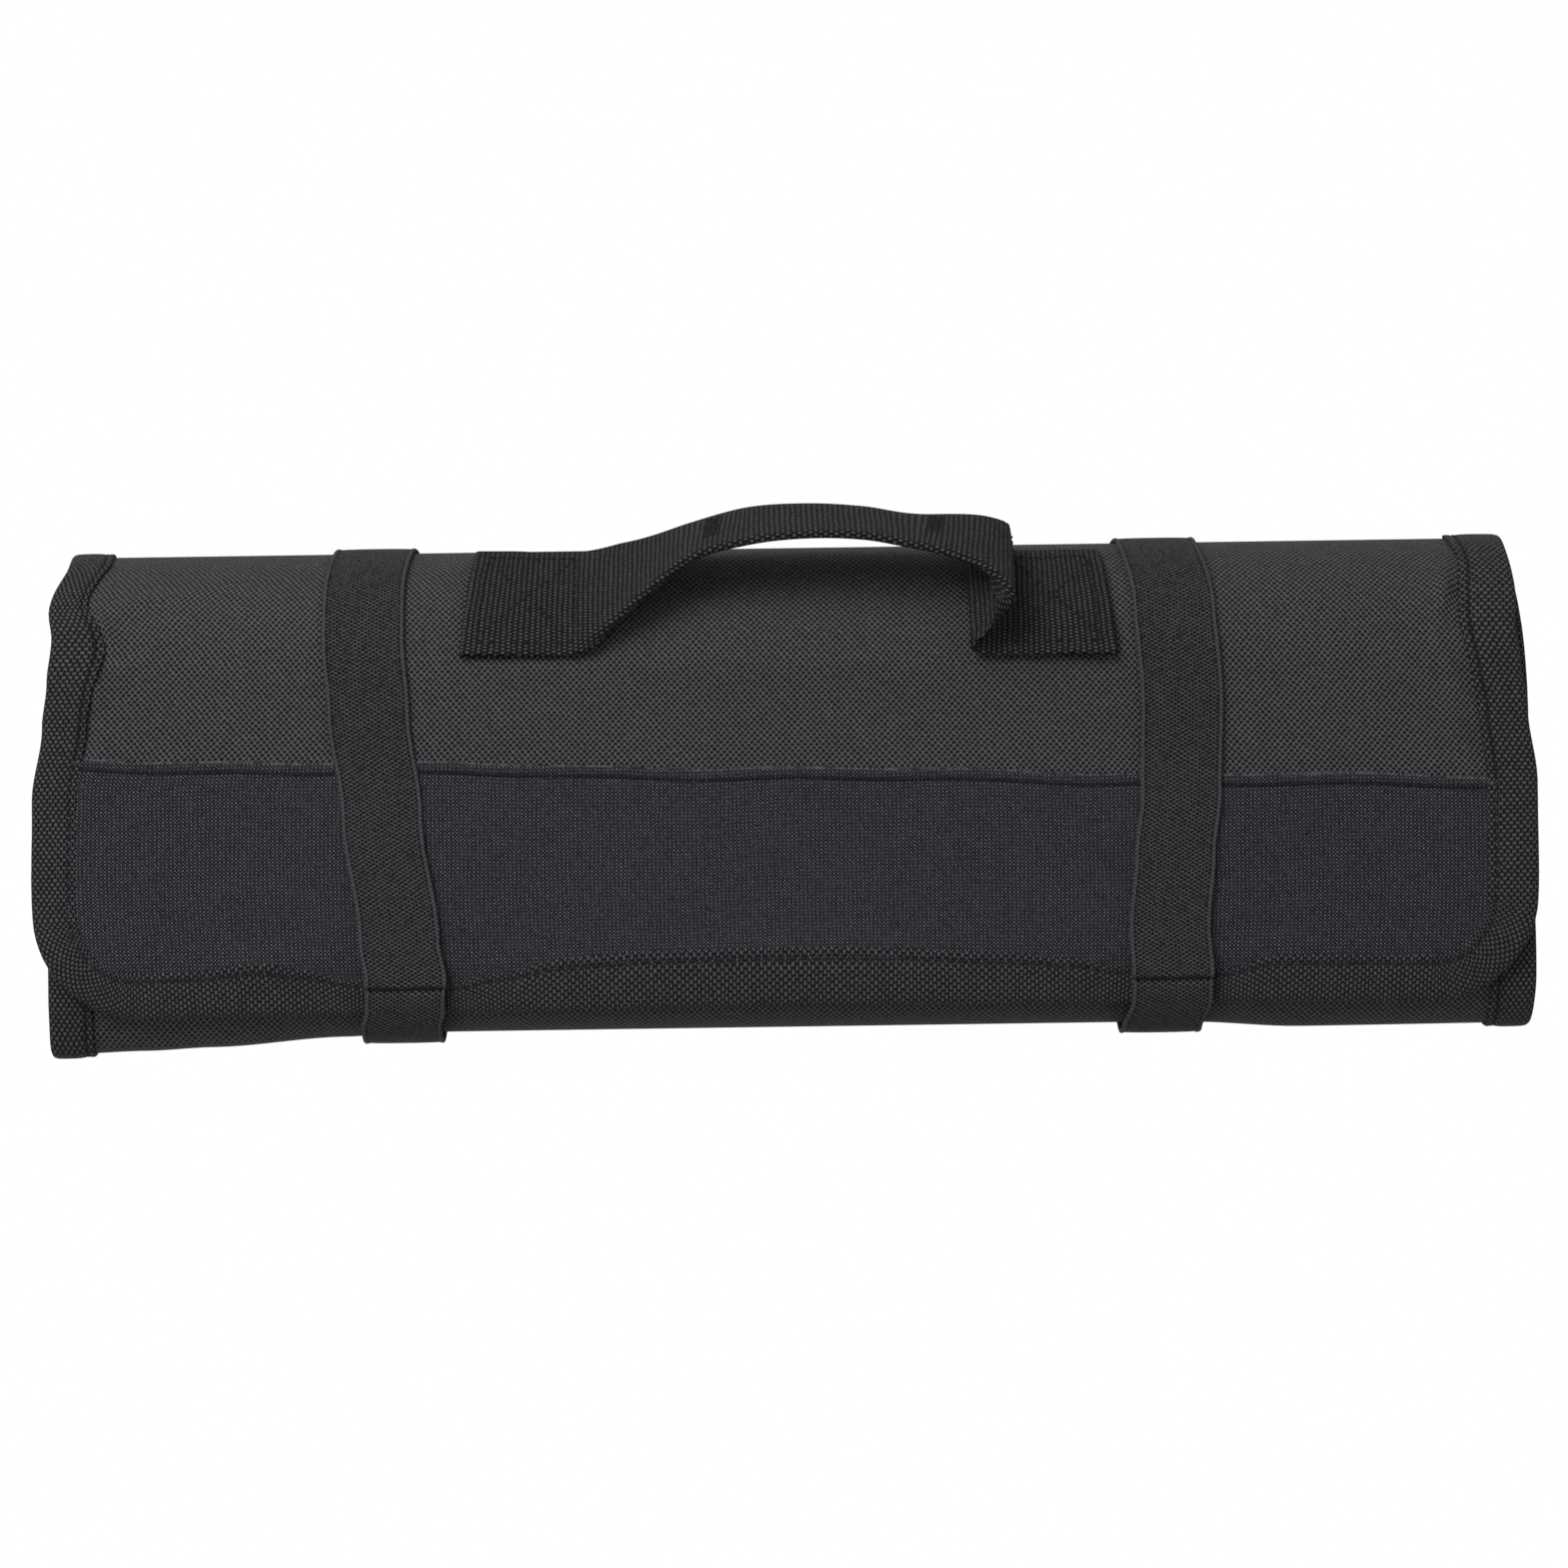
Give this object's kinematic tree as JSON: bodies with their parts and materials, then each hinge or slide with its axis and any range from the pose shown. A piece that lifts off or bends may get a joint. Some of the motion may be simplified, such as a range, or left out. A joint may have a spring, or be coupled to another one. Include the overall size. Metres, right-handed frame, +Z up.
{
  "type": "chef knife roll",
  "caption": "Rolled canvas case for kitchen knives, with a bound flap, elastic straps round it and a webbing carrying handle on the back edge",
  "frame": {"origin": "middle of the underside of the bounding box, where the roll lies on its straps", "axes": "+X along the roll with the left strap at -X, -Y to the front where the flap ends, +Z up"},
  "size_m": [0.457, 0.1546, 0.0998],
  "materials": {
    "wrap_canvas": "matte coarse basket-weave polyester canvas",
    "panel_canvas": "matte finer canvas with a faint violet cast",
    "binding": "matte ribbed binding tape",
    "elastic": "matte woven elastic",
    "webbing": "matte coarse webbing"
  },
  "bodies": {
    "root": {"outer_wrap": "wrap_canvas", "flap_panel": "panel_canvas", "binding_tape": "binding", "strap_left": "elastic", "strap_right": "elastic", "handle_webbing": "webbing"}
  },
  "joints": []
}
